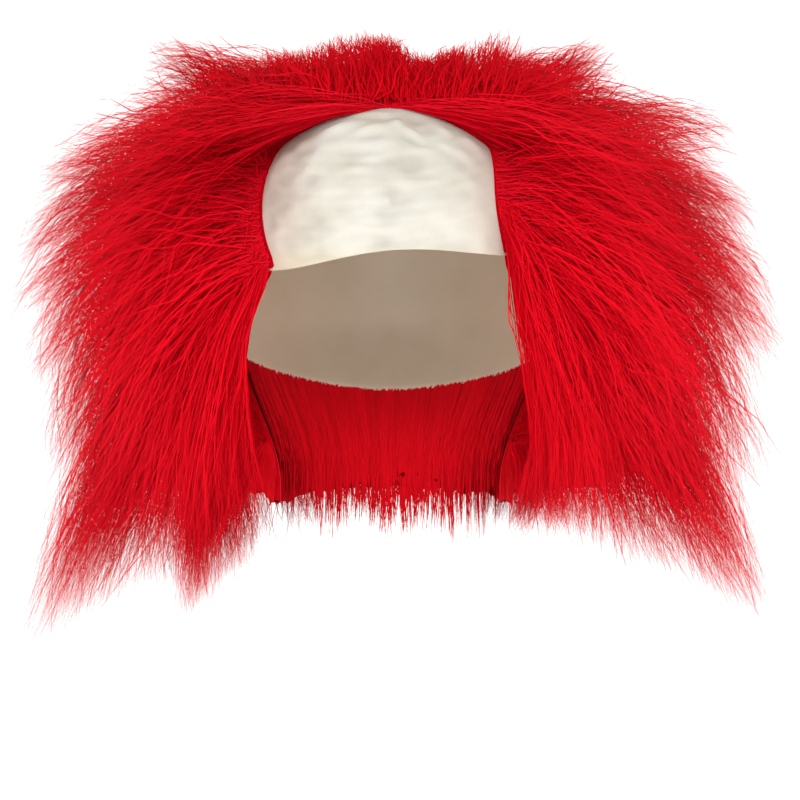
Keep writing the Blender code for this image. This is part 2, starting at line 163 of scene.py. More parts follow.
def dome_share(depth, full):
    """How far a dome has spread at this depth below its crown, from 0 to 1."""
    rest = np.clip(1.0 - depth / full, 0, 1)
    return np.clip(1.0 - rest ** DOME_POWER, 0, 1) ** (1.0 / DOME_POWER)


def stacked(*parts):
    return np.stack(parts, axis=-1)


def from_axis(points):
    return np.linalg.norm(points[..., :2], axis=-1)


def azimuth_of(points):
    return np.arctan2(points[..., 0], -points[..., 1])


def unit(vectors):
    return vectors / np.maximum(np.linalg.norm(vectors, axis=-1, keepdims=True), TINY)


def head_point(azimuth, depth):
    """Points of the head form. Azimuth is 0 at the front and positive to the wearer's left."""
    neck = smooth((depth - NECK_START) / (NECK_END - NECK_START))
    wide = blend(HEAD_HALF_WIDTH, NECK_HALF_WIDTH, neck) * dome_share(depth, SIDE_DROP)
    front = FRONT_LENGTH * dome_share(depth, FRONT_DROP)
    back = blend(BACK_LENGTH, NECK_BACK, neck) * dome_share(depth, BACK_DROP)
    along = np.where(np.cos(azimuth) > 0.0, front, back)
    wide, along = np.maximum(wide, LEAST_SIZE), np.maximum(along, LEAST_SIZE)
    reach = 1.0 / np.hypot(np.sin(azimuth) / wide, np.cos(azimuth) / along)
    depth = depth + 0.0 * reach
    return stacked(reach * np.sin(azimuth), -reach * np.cos(azimuth), -depth)


def head_normal(azimuth, depth):
    """Directions straight out of the head form."""
    least = 2.0 * NORMAL_STEP
    deep = np.maximum(depth, least)
    across = head_point(azimuth + NORMAL_STEP, deep) - head_point(azimuth - NORMAL_STEP, deep)
    down = head_point(azimuth, deep + NORMAL_STEP) - head_point(azimuth, deep - NORMAL_STEP)
    normal = unit(np.cross(down, across))
    normal[np.broadcast_to(depth, normal.shape[:-1]) < least] = (0.0, 0.0, 1.0)
    return normal


def rim_depth(azimuth):
    """Depth of the latex's lower edge."""
    turn = np.degrees(np.arctan2(np.sin(azimuth), np.cos(azimuth)))
    away = np.abs(turn)
    depth = blend(FRONT_RIM, CORNER_RIM, smooth(away / CORNER_AZIMUTH))
    depth = blend(depth, SIDE_RIM,
                  smooth((away - CORNER_AZIMUTH) / (SIDE_AZIMUTH - CORNER_AZIMUTH)))
    depth = blend(depth, BACK_RIM, smooth((away - SIDE_AZIMUTH) / (180.0 - SIDE_AZIMUTH)))
    fade = smooth((SIDE_AZIMUTH - away) / (SIDE_AZIMUTH - CORNER_AZIMUTH))
    return depth - RIM_WAVE * fade * np.sin(math.pi / 2.0 * turn / CORNER_AZIMUTH)


def hairline_y(depth, left):
    """How far back the hair starts at this depth. left is 1 on the wearer's left, 0 on the right."""
    share = np.clip(depth / CORNER_RIM, 0, 1) ** HAIRLINE_CURVE
    upper = blend(HAIRLINE_SETBACK, HAIRLINE_CORNER_Y, share)
    lower = smooth((depth - CORNER_RIM) / (SIDEBURN_DEPTH - CORNER_RIM))
    lead = np.clip((depth - LEAD_TOP) / (CORNER_RIM - LEAD_TOP), 0, 1)
    lead = LEFT_LEAD * left * np.sin(math.pi * lead)
    lead = lead + TOP_LEAD * np.exp(-((depth - TOP_LEAD_DEPTH) / TOP_LEAD_SPREAD) ** 2)
    crown = HAIRLINE_CROWN_Y + CROWN_SLOPE * np.maximum(depth - CROWN_FLAT, 0.0)
    return blend(np.minimum(crown, upper), SIDEBURN_Y, lower) - lead


def hairline_azimuth(depth, left):
    """Size of the azimuth at which the hair starts at these depths."""
    low, high = np.zeros_like(depth), np.full_like(depth, math.pi)
    for _ in range(HAIRLINE_HALVINGS):
        middle = (low + high) / 2.0
        behind = head_point(middle, depth)[..., 1] > hairline_y(depth, left)
        low, high = np.where(behind, low, middle), np.where(behind, middle, high)
    return high


def direction(azimuth, angle):
    return stacked(np.sin(angle) * np.sin(azimuth), -np.sin(angle) * np.cos(azimuth),
                   np.cos(angle) + 0.0 * azimuth)


def polar(points):
    """Azimuth, angle from straight up and distance of points from the hair's centre."""
    reach = points - CENTRE
    distance = np.linalg.norm(reach, axis=-1)
    return azimuth_of(reach), np.arccos(np.clip(reach[..., 2] / distance, -1.0, 1.0)), distance


def edge_reach(edge, angle, softness):
    """Reach of an edge at an angle, averaged over this many degrees to either side."""
    angles, reaches = [row.angle for row in edge], [row.reach for row in edge]
    degrees = np.degrees(angle)
    steps = np.linspace(-softness, softness, SOFT_SAMPLES if softness else 1)
    return sum(np.interp(degrees + step, angles, reaches) for step in steps) / len(steps)


def hair_reach(azimuth, angle, softness=0.0):
    """Distance from the hair's centre to its outline."""
    left, right, back = (edge_reach(edge, angle, softness)
                         for edge in (LEFT_EDGE, RIGHT_EDGE, BACK_EDGE))
    share = smooth(np.cos(azimuth) ** 2)
    turned = smooth(0.5 + np.sin(azimuth) / SIDE_BLEND)
    side = blend(right, left, turned)
    forward = np.cos(azimuth) > 0.0
    return np.where(forward, side * blend(1.0, FRONT_SHARE, share), blend(side, back, share))


class Waves:
    """Smooth noise in space: a sum of plane waves in random directions."""

    def __init__(self, size, seed):
        draw = np.random.default_rng(seed)
        ways = unit(draw.normal(size=(WAVE_COUNT, 3)))
        sizes = size * draw.uniform(*WAVE_SIZES, WAVE_COUNT)
        self.ways = ways * (TURN / sizes)[:, None]
        self.phases = draw.uniform(0.0, TURN, WAVE_COUNT)
        self.scale = math.sqrt(2.0 / WAVE_COUNT)

    def at(self, points):
        return np.sin(points @ self.ways.T + self.phases).sum(axis=-1) * self.scale


def added(name, data):
    """A new object of the scene."""
    made = bpy.data.objects.new(name, data)
    bpy.context.scene.collection.objects.link(made)
    return made


def mesh_object(name, points, quads, look, uv=None, normals=None):
    """A mesh from arrays. uv holds one row per corner of each quad, normals one per point."""
    mesh = bpy.data.meshes.new(name)
    mesh.vertices.add(len(points))
    mesh.vertices.foreach_set("co", np.asarray(points, np.float32).ravel())
    mesh.loops.add(quads.size)
    mesh.loops.foreach_set("vertex_index", np.asarray(quads, np.int32).ravel())
    mesh.polygons.add(len(quads))
    mesh.polygons.foreach_set("loop_start", np.arange(0, quads.size, 4, dtype=np.int32))
    mesh.polygons.foreach_set("loop_total", np.full(len(quads), 4, np.int32))
    mesh.update(calc_edges=True)
    if uv is not None:
        layer = mesh.uv_layers.new(name="OFBake")
        layer.data.foreach_set("uv", np.asarray(uv, np.float32).ravel())
    mesh.polygons.foreach_set("use_smooth", np.full(len(quads), True))
    if normals is not None:
        mesh.normals_split_custom_set_from_vertices(np.asarray(normals, np.float32))
    mesh.materials.append(look)
    return added(name, mesh)


def grid_quads(rows, columns, closed=False):
    """Quads of a grid of points, row by row. A closed grid joins its last column to its first."""
    row, column = np.meshgrid(np.arange(rows - 1), np.arange(columns - (not closed)),
                              indexing="ij")
    beside = (column + 1) % columns
    return stacked(row * columns + column, (row + 1) * columns + column,
                   (row + 1) * columns + beside, row * columns + beside).reshape(-1, 4)


# Bald cap

CAP_COLUMNS = 184
CAP_ROWS = 100
CAP_CROWDING = 0.62
RELIEF_FADE = 0.009
# Height of the relief on the inner side, as a share of that on the outer side
INNER_RELIEF = 0.6
# The rolled lower edge of the latex
LIP_WIDTH = 0.0016
LIP_HEIGHT = 0.0006
# Fine wrinkles and broad slack of the latex, with their heights in millimetres
WRINKLES = Waves(0.011, seed=5)
WRINKLE_HEIGHT = 0.26
WRINKLE_STRETCH = np.array([0.7, 1.0, 1.6])
SLACK = Waves(0.045, seed=6)
SLACK_HEIGHT = 0.55
MILLIMETRE = 0.001


def latex_relief(points):
    """Height of the blisters, folds and creases of the latex, in metres."""
    x, down = points[..., 0] / MILLIMETRE, -points[..., 2] / MILLIMETRE
    hairline = hairline_y(-points[..., 2], x > 0.0)
    front = smooth((hairline - points[..., 1]) / RELIEF_FADE)
    rise = np.zeros_like(x)
    for fold in FOLDS:
        turn = math.radians(fold.turn)
        across, below = x - fold.across, down - fold.down
        along = across * math.cos(turn) - below * math.sin(turn)
        aside = across * math.sin(turn) + below * math.cos(turn)
        size = (along / fold.length) ** 2 + (aside / fold.width) ** 2
        rise += fold.rise * np.exp(-size)
    rise += WRINKLE_HEIGHT * WRINKLES.at(points * WRINKLE_STRETCH)
    rise += SLACK_HEIGHT * SLACK.at(points)
    return rise * front * MILLIMETRE


def cap_side(offset, relief_share):
    """Grid of points over the head form at this offset, crown to rim, and the points under it."""
    turns = np.arange(CAP_COLUMNS) * TURN / CAP_COLUMNS
    azimuth = turns - CAP_CROWDING * np.sin(turns)
    share = np.linspace(0, 1, CAP_ROWS)[:, None]
    rim = rim_depth(azimuth)[None, :]
    depth = np.maximum(rim * (1.0 - np.cos(share * math.pi / 2.0)), CROWN_START)
    azimuth = np.broadcast_to(azimuth[None, :], depth.shape)
    base = head_point(azimuth, depth)
    lip = LIP_HEIGHT * np.exp(-((rim - depth) / LIP_WIDTH) ** 2)
    height = offset + relief_share * latex_relief(base) + lip
    return base + head_normal(azimuth, depth) * height[..., None], base


def bald_cap(look):
    """The latex cap, one closed wall. Its relief attribute holds the relief in millimetres, from
    which the latex's material paints shade into the creases and light onto the ridges.
    """
    outer, head_points = cap_side(CAP_WALL, 1.0)
    inner = cap_side(0.0, INNER_RELIEF)[0]
    rows, columns = outer.shape[:2]
    points = np.concatenate([outer.reshape(-1, 3), inner.reshape(-1, 3)])
    skin = grid_quads(rows, columns, closed=True)
    inner_skin = skin[:, ::-1] + rows * columns
    last = (rows - 1) * columns + np.arange(columns)
    beside = np.roll(last, -1)
    rim = stacked(last, last + rows * columns, beside + rows * columns, beside)
    cap = mesh_object("latex_cap", points, np.concatenate([skin, inner_skin, rim]), look)
    relief = cap.data.attributes.new("relief", "FLOAT", "POINT")
    height = latex_relief(head_points).reshape(-1) / MILLIMETRE
    relief.data.foreach_set("value", np.concatenate([height, height]).astype(np.float32))
    return cap


# Hair

BASE_BANDS = 24
BAND_COLUMNS = 6
BASE_ROWS = 80
ROOT_HEIGHT = 0.0004
TOP_RANGE = (0.0005, 0.02)
TOP_SAMPLES = 400
# Shares of the rows of roots that end where the bald front starts, and at a given depth
TOP_ROWS = 0.1
LOWER_ROWS = 0.6
LOWER_DEPTH = 0.1

# The dense hair under the strands: its lumps, its hem and its place on the colour map
LUMPS = Waves(0.030, seed=8)
LUMP_CROWDING = 1.3
LUMP_SHARE = 0.06
FRIZZ = Waves(0.007, seed=9)
FRIZZ_HEIGHT = 0.0012
BASE_LEAST = 0.0018
HEM_THINNING = 0.8
BASE_TONES = (0.25, 0.62)
BASE_STREAKS = (0.15, 0.75)
BASE_SOFTENING = 0.7

# Places that the shading of the hair points away from, on its outer and its inner side
SHADE_CENTRE = np.array([0.0, 0.090, -0.130])
INNER_CENTRE = np.array([0.0, -0.300, -0.130])


def top_depth():
    """Depth at which the bald front starts, in the middle of the head."""
    depths = np.linspace(*TOP_RANGE, TOP_SAMPLES)
    ahead = hairline_y(depths, 0.0) - head_point(0.0 * depths, depths)[:, 1]
    return float(np.interp(0.0, ahead, depths))


TOP_DEPTH = top_depth()


def hair_depths(share):
    """Depth of the hair's roots, from the crown at 0 to the hem at 1, with rows close together
    where the bald front starts."""
    above = np.clip(share / TOP_ROWS, 0, 1) * TOP_DEPTH
    beside = np.clip((share - TOP_ROWS) / (LOWER_ROWS - TOP_ROWS), 0, 1) ** 2
    below = np.clip((share - LOWER_ROWS) / (1.0 - LOWER_ROWS), 0.0, None)
    return (np.maximum(above, CROWN_START) + beside * (LOWER_DEPTH - TOP_DEPTH)
            + below * (HEM_DEPTH - LOWER_DEPTH))


def root_point(across, share):
    """Points of the hair-bearing head form. across is 0 at the left hairline and 1 at the right."""
    depth = hair_depths(share)
    left, right = hairline_azimuth(depth, 1.0), hairline_azimuth(depth, 0.0)
    return head_point(left + across * (TURN - left - right), depth)


def base_point(root):
    """Surface of the dense hair over a root."""
    azimuth, angle, distance = polar(root)
    depth = -root[..., 2]
    behind = smooth((root[..., 1] - hairline_y(depth, root[..., 0] > 0.0)) / BASE_SWELL)
    reach = hair_reach(azimuth, angle, BASE_SOFTNESS) - distance
    back = smooth((np.degrees(np.abs(azimuth)) - BACK_START) / BACK_SPREAD)
    thick = np.maximum(reach, 0.0) * blend(BASE_SHARE, BACK_BASE_SHARE, back) * behind
    thick = thick * (1.0 - HEM_THINNING * smooth((depth - HEM_TAPER) / (HEM_DEPTH - HEM_TAPER)))
    thick = thick * (1.0 + LUMP_SHARE * LUMPS.at(root * LUMP_CROWDING)) + BASE_LEAST
    thick = thick + FRIZZ_HEIGHT * behind * FRIZZ.at(root)
    return CENTRE + direction(azimuth, angle) * (distance + thick)[..., None]


def hair_base(look):
    """The dense hair under the strands, open where the head goes in."""
    columns = BASE_BANDS * BAND_COLUMNS + 1
    across = np.linspace(0, 1, columns)[None, :]
    share = np.linspace(0, 1, BASE_ROWS)[:, None]
    across, share = np.broadcast_arrays(across, share)
    root = root_point(across, share)
    out = head_normal(azimuth_of(root), -root[..., 2])
    inner = root + out * (CAP_WALL + ROOT_HEIGHT)
    outer = base_point(root)
    points = np.concatenate([outer.reshape(-1, 3), inner.reshape(-1, 3)])
    count = BASE_ROWS * columns
    skin = grid_quads(BASE_ROWS, columns)
    index = np.arange(count).reshape(BASE_ROWS, columns)
    loops = [index[-1], index[::-1, 0], index[:, -1], index[0, ::-1]]
    walls = [stacked(loop[:-1], loop[:-1] + count, loop[1:] + count, loop[1:]) for loop in loops]
    quads = np.concatenate([skin, skin[:, ::-1] + count] + walls)
    band = np.abs(np.mod(across * BASE_BANDS, 2.0) - 1.0)
    uv = stacked(blend(*BASE_TONES, band), blend(*BASE_STREAKS, share))
    uv = np.concatenate([uv.reshape(-1, 2)] * 2)[quads.ravel()]
    facing = unit(blend(outer - CENTRE, outer - SHADE_CENTRE, BASE_SOFTENING))
    normals = np.concatenate([facing.reshape(-1, 3), -out.reshape(-1, 3)])
    return mesh_object("hair_base", points, quads, look, uv, normals)


# Roots

CORE_LIMIT = 0.2
CORE_HALVINGS = 24
ROOT_START = 0.0008


def core_distance(azimuth, angle):
    """Distance from the hair's centre to the surface of the head form in these directions."""
    low, high = np.zeros_like(azimuth), np.full_like(azimuth, CORE_LIMIT)
    way = direction(azimuth, angle)
    for _ in range(CORE_HALVINGS):
        middle = (low + high) / 2.0
        place = CENTRE + way * middle[:, None]
        depth = np.maximum(-place[:, 2], 0.0)
        turn = azimuth_of(place)
        around = from_axis(head_point(turn, depth))
        inside = (place[:, 2] < 0.0) & (from_axis(place) < around)
        low, high = np.where(inside, middle, low), np.where(inside, high, middle)
    return high


def on_cap(turn, depth):
    """Points just over the latex at these azimuths and depths."""
    return head_point(turn, depth) + head_normal(turn, depth) * (CAP_WALL + ROOT_HEIGHT)


def rooted(azimuth, angle, stray):
    """Roots on the head form in these directions. One in front of the hairline moves back to it,
    or up to stray radians behind it."""
    place = CENTRE + direction(azimuth, angle) * core_distance(azimuth, angle)[:, None]
    depth = np.clip(-place[:, 2], ROOT_START, HEM_DEPTH)
    turn = azimuth_of(place)
    limit = hairline_azimuth(depth, turn > 0.0) + stray
    side = np.where(turn < 0.0, -1.0, 1.0)
    turn = side * np.maximum(np.abs(turn), np.minimum(limit, math.pi))
    found, angle, distance = polar(on_cap(turn, depth))
    found = found + TURN * np.round((azimuth - found) / TURN)
    return stacked(found, angle, distance)


# Locks. On the sides, many of them end at the peaks of the photo's outline. Angles are in degrees.

PEAK_ANGLES = (20.0, 150.0)
LOW_PEAK = 120.0
PEAK_LOCKS = 5
LOW_PEAK_LOCKS = 12
SIDE_MIDDLE = 90.0
PEAK_SPREAD = 6.0

# The other locks: how their angles are shared out, and how they spread over their section
ANGLE_SHARES = [0.0, 0.54, 1.0]
ANGLES = [22.0, 114.0, 149.0]
SIDE_CROWDING = 0.25
LOW_ANGLE = 116.0
LOW_SPREAD = 0.55
REACHES = (0.94, 1.0)

# The strands' tips: how many are loose, how far they scatter and how low and far out they go
LOOSE_SHARE = 0.22
SIDEWAYS = 1.4
SECTION_MARGIN = 3.0
LOWEST_TIP = math.radians(150.0)
LOWEST_SPREAD = 0.03
SHORT_POWER = 1.8
REACH_LIMIT = 1.03
TIP_CLEARANCE = 0.064

# The strands' roots: those of the front locks lie further forward and nearer to the tip. Least
# angles and strays are in radians.
SWEPT_FROM = 118.0
SWEPT_FADE = 60.0
SWEEP_FORWARD = 34.0
FACING_FROM = 95.0
FACING_FADE = 40.0
FACING_SHORTER = 0.35
LEAST_ROOT = 0.20
STRAYS = (0.0, 0.10)

# How far round the hair's centre a strand falls from its root to its tip, by the tip's angle
SPAN_ANGLES = [20, 47, 86, 112, 138, 155]
SPANS = [3, 22, 42, 54, 54, 46]
SPAN_RANGE = (0.8, 1.15)

Locks = namedtuple("Locks", "root tip start group")


def peak_tips(edge):
    """Tips of locks at the peaks of an outline."""
    peaks = [row for before, row, after in zip(edge, edge[1:], edge[2:])
             if row.reach >= before.reach and row.reach >= after.reach
             and PEAK_ANGLES[0] < row.angle < PEAK_ANGLES[1]]
    return [(rng.normal(SIDE_MIDDLE, PEAK_SPREAD), row.angle, row.reach) for row in peaks
            for _ in range(PEAK_LOCKS if row.angle < LOW_PEAK else LOW_PEAK_LOCKS)]


def lock_tips(side, low, high, count):
    """Tips of locks between two azimuths, as azimuth, angle and distance."""
    rows = peak_tips(LEFT_EDGE if side > 0 else RIGHT_EDGE)
    # The back takes no peaks, but they are drawn, so that later draws stay as they are
    behind = high > 180.0
    if behind:
        rows = []
    for step in range(count):
        off = rng.uniform(-1.0, 1.0)
        azimuth = (low + high) / 2.0 + (high - low) / 2.0 * off * abs(off) ** SIDE_CROWDING
        angle = float(np.interp((step + rng.uniform(0, 1)) / count, ANGLE_SHARES, ANGLES))
        if angle > LOW_ANGLE and not behind:
            azimuth = blend(SIDE_MIDDLE, azimuth, LOW_SPREAD)
        reach = hair_reach(side * math.radians(azimuth), math.radians(angle))
        rows.append((azimuth, angle, float(reach) * rng.uniform(*REACHES)))
    tips = np.array(rows)
    tips[:, :2] = np.radians(tips[:, :2])
    tips[:, 0] *= side
    return tips


def lock_roots(side, tips, gather, stray):
    """Roots of strands, each from the tip of its lock."""
    count = len(tips)
    azimuth = np.abs(tips[:, 0])
    front = np.clip((np.radians(SWEPT_FROM) - azimuth) / np.radians(SWEPT_FADE), 0, 1)
    facing = smooth((np.radians(FACING_FROM) - azimuth) / np.radians(FACING_FADE))
    swept = azimuth - front * np.radians(SWEEP_FORWARD) + np.radians(gather) * stray[:, 2]
    span = np.interp(np.degrees(tips[:, 1]), SPAN_ANGLES, SPANS) * (1.0 - FACING_SHORTER * facing)
    span = span * rng.uniform(*SPAN_RANGE, count) + gather * stray[:, 3]
    angle = np.maximum(tips[:, 1] - np.radians(span), LEAST_ROOT)
    return rooted(side * np.maximum(swept, LEAST_ROOT), angle, rng.uniform(*STRAYS, count))


def locks(side, low, high, layer, scale):
    """Roots and tips of the strands of many locks, gathered at the tips of the locks."""
    tips = lock_tips(side, low, high, int(layer.locks * scale))
    strands = int(layer.strands * scale)
    group = rng.integers(0, len(tips), strands)
    stray = rng.normal(size=(strands, 4))
    loose = np.where(rng.uniform(0, 1, strands) < LOOSE_SHARE, layer.loose, 1.0)
    tip = tips[group].copy()
    tip[:, 0] += SIDEWAYS * np.radians(layer.scatter) * stray[:, 0] * loose
    tip[:, 1] += np.radians(layer.scatter) * stray[:, 1] * loose
    tip[:, 0] = side * np.clip(side * tip[:, 0], math.radians(low - SECTION_MARGIN),
                               math.radians(high + SECTION_MARGIN))
    tip[:, 1] = np.minimum(tip[:, 1], LOWEST_TIP - LOWEST_SPREAD * np.abs(stray[:, 1]))
    tip[:, 2] *= 1.0 - (1.0 - layer.shortest) * rng.uniform(0, 1, strands) ** SHORT_POWER
    tip[:, 2] = np.minimum(tip[:, 2], hair_reach(tip[:, 0], tip[:, 1]) * REACH_LIMIT)
    hanging = np.maximum(tip[:, 1], math.pi / 2.0)
    tip[:, 2] = np.maximum(tip[:, 2], TIP_CLEARANCE / np.sin(hanging))
    root = lock_roots(side, tips[group], layer.gather, stray)
    return Locks(root, tip, rng.uniform(*layer.start, strands), group)


# Rows of strands along the hairline: how deep below the crown and how many radians behind the
# hairline they start, how many degrees they lean back and fall, the least azimuth and the share
# of the outline that they reach, and their shape and colour
Fringe = namedtuple("Fringe", "name strands depth deep lean fall forward reach width tone "
                              "steps rise crimp wavelength sway tone_width",
                    defaults=(8, (0.7, 1.2), (0.0002, 0.0008), (0.014, 0.026), 0.7, 0.02))
# The fringe row's high tone is painted light that brightens the hair beside the bald front.
FRINGES = [
    Fringe("fringe", 2000, (0.001, 0.085), 0.09, (8, 26), (10, 28), 66, (0.62, 0.86),
           (0.0003, 0.0007), 0.85),
    Fringe("curtain", 1300, (0.070, 0.165), 0.22, (0, 22), (16, 50), 50, (0.62, 0.92),
           (0.0003, 0.0008), 0.50),
    Fringe("drape", 1000, (0.050, 0.086), 0.05, (0, 16), (38, 66), 20, (0.62, 0.84),
           (0.0003, 0.0008), 0.50),
]
FRINGE_LOCKS = 60
FRINGE_SHIFT = 4.0
FRINGE_SPREAD = 16.0
FRINGE_LOWEST = math.radians(138.0)
FRINGE_LEAST = 0.006


def fringe(side, row):
    """Roots and tips of the strands that leave the latex, or the hair's edge, at the hairline."""
    depth = rng.uniform(*row.depth, row.strands)
    turn = hairline_azimuth(depth, float(side > 0)) + rng.uniform(0, row.deep, row.strands)
    azimuth, angle, distance = polar(on_cap(side * turn, depth))
    group = (depth - row.depth[0]) / (row.depth[1] - row.depth[0]) * FRINGE_LOCKS
    group = np.clip(group.astype(int), 0, FRINGE_LOCKS - 1)
    shift = FRINGE_SHIFT * rng.normal(size=(FRINGE_LOCKS, 2))[group]
    lean = np.radians(rng.uniform(*row.lean, row.strands) + shift[:, 0])
    fall = np.radians(rng.uniform(*row.fall, row.strands) + shift[:, 1])
    aside = np.maximum(side * azimuth + lean, math.radians(row.forward))
    aside = side * (aside + np.radians(rng.uniform(0, FRINGE_SPREAD, row.strands)))
    low = np.minimum(angle + fall, FRINGE_LOWEST)
    reach = hair_reach(aside, low) * rng.uniform(*row.reach, row.strands)
    reach = np.maximum(reach, distance + FRINGE_LEAST)
    return Locks(stacked(azimuth, angle, distance), stacked(aside, low, reach),
                 np.zeros(row.strands), group)


# The opening between the two sides of the hair: the width that they leave free from the middle to
# each side at each depth. Above these depths the hairline bounds it.
Opening = namedtuple("Opening", "depth right left")
OPENINGS = [Opening(*row) for row in (
    (0.079, 0.0565, 0.0514), (0.090, 0.0584, 0.0530), (0.097, 0.0612, 0.0530),
    (0.104, 0.0640, 0.0547), (0.111, 0.0663, 0.0575), (0.118, 0.0677, 0.0607),
    (0.138, 0.0670, 0.0628), (0.159, 0.0654, 0.0670), (0.173, 0.0635, 0.0663),
    (0.187, 0.0593, 0.0612), (0.215, 0.0505, 0.0600),
)]
EDGE_DEPTHS = np.linspace(0.0, CORNER_RIM, 60)

# How far strands stay out of the head, the hairline and the opening
DEEPEST = 0.34
HEAD_CLEARANCE = 0.0012
TOP_CLEARANCE = 0.003
HAIRLINE_CLEARANCE = 0.001
EDGE_SLACK = 0.010
TIP_SLACK = 3.0


def opening_edge(depth, left):
    """Width of the bald front and the opening below it, from the middle to one side."""
    turn = hairline_azimuth(EDGE_DEPTHS, left)
    hairline = head_point(turn, np.maximum(EDGE_DEPTHS, CROWN_START))[:, 0] + CAP_WALL
    depths = np.concatenate([EDGE_DEPTHS[:-1], [row.depth for row in OPENINGS]])
    widths = [row.left if left else row.right for row in OPENINGS]
    widths = np.concatenate([hairline[:-1], widths])
    return np.interp(depth, depths, widths)


def keep_clear(points):
    """Moves strands out of the head form, and those in front of the hairline out of the way of the
    bald front and the opening below it."""
    depth = np.clip(-points[..., 2], 0.0, DEEPEST)
    turn = azimuth_of(points)
    form = head_point(turn, np.maximum(depth, ROOT_START))
    around = from_axis(form) + CAP_WALL + HEAD_CLEARANCE
    along = np.maximum(from_axis(points), LEAST_SIZE)
    push = np.where((points[..., 2] < -TOP_CLEARANCE) & (along < around), around / along, 1.0)
    moved = points * stacked(push, push, np.ones_like(push))
    side = np.where(points[:, :1, 0] < 0.0, -1.0, 1.0)
    way = np.linspace(0, 1, points.shape[1])[None, :]
    slack = EDGE_SLACK * rng.uniform(0, 1, (len(points), 1)) ** 2 * (1.0 + TIP_SLACK * way ** 2)
    for sign in (-1.0, 1.0):
        left = float(sign > 0.0)
        free = opening_edge(depth, left) + slack
        front = moved[..., 1] < hairline_y(depth, left) + HAIRLINE_CLEARANCE
        inside = (side == sign) & front & (points[..., 2] < 0.0) & (sign * moved[..., 0] < free)
        moved[..., 0] = np.where(inside, sign * free, moved[..., 0])
    return moved


# Paths of strands

FALL_POWER = 1.1
# How much later the strands with low tips leave the head, by the tip's angle
LATE_ANGLES = [110, 128]
LATE_RISES = [1.0, 2.3]
# The slow waves of a strand, those of its own and those of its lock, in turns and metres
SWAY_TURNS = (0.7, 1.5)
LONE_SWAY = 0.0038
SHARED_SWAY = 0.0026
SHARED_RATE = 1.7
WAVE_GROWTH = 1.2


def sweep(locks, steps, rise):
    """Smooth paths from roots to tips round the head, and the share of the way at each point."""
    start, count = locks.start[:, None], len(locks.start)
    share = start + (1.0 - start) * np.linspace(0, 1, steps + 1)[None, :]
    azimuth = blend(locks.root[:, 0:1], locks.tip[:, 0:1], share)
    angle = blend(locks.root[:, 1:2], locks.tip[:, 1:2], share ** FALL_POWER)
    late = np.interp(np.degrees(locks.tip[:, 1]), LATE_ANGLES, LATE_RISES)
    lift = (rng.uniform(*rise, count) * late)[:, None]
    distance = blend(locks.root[:, 2:3], locks.tip[:, 2:3], share ** lift)
    return CENTRE + direction(azimuth, angle) * distance[..., None], share


def crimped(points, share, group, style):
    """The paths with the hair's waves. style.crimp is the height of the small waves and
    style.wavelength their length, each as a range in metres."""
    count, steps = points.shape[0], points.shape[1] - 1
    heading = unit(np.gradient(points, axis=1))
    aside = unit(np.cross(heading, points - CENTRE))
    above = np.cross(aside, heading)
    length = np.linalg.norm(np.diff(points, axis=1), axis=-1).sum(axis=1)[:, None]
    way = np.linspace(0, 1, steps + 1)[None, :] * length
    together = rng.uniform(0, TURN, (group.max() + 1, 4))[group]
    alone = rng.uniform(0, TURN, (count, 4))
    turns = TURN * way / rng.uniform(*style.wavelength, count)[:, None]
    slow = TURN * share * rng.uniform(*SWAY_TURNS, count)[:, None]
    high = rng.uniform(*style.crimp, count)[:, None]
    grow = np.clip(share * WAVE_GROWTH, 0, 1)
    for axis, at in ((aside, 0), (above, 2)):
        wave = high * np.sin(turns + alone[:, at:at + 1]) * grow
        lone = np.sin(slow + alone[:, at + 1:at + 2])
        shared = np.sin(slow * SHARED_RATE + together[:, at:at + 1])
        wave += style.sway * LONE_SWAY * lone * grow ** 2
        wave += style.sway * SHARED_SWAY * shared * grow
        points = points + axis * wave[..., None]
    return keep_clear(points)


# Strands as flat ribbons: how far they turn on their own axis, how far their shading follows the
# whole hair, how they narrow to the tip, and how far they stray from their middle tone

FLAT_TWIST = 0.35
THIN_TWIST = 0.55
THIN_TONE = 0.01
SOFTNESS = 0.86
NARROWING = 0.86
NARROWING_POWER = 2.4
MAP_EDGE = 0.01
LOCK_TONE = 0.05
STRAND_TONE = 0.06


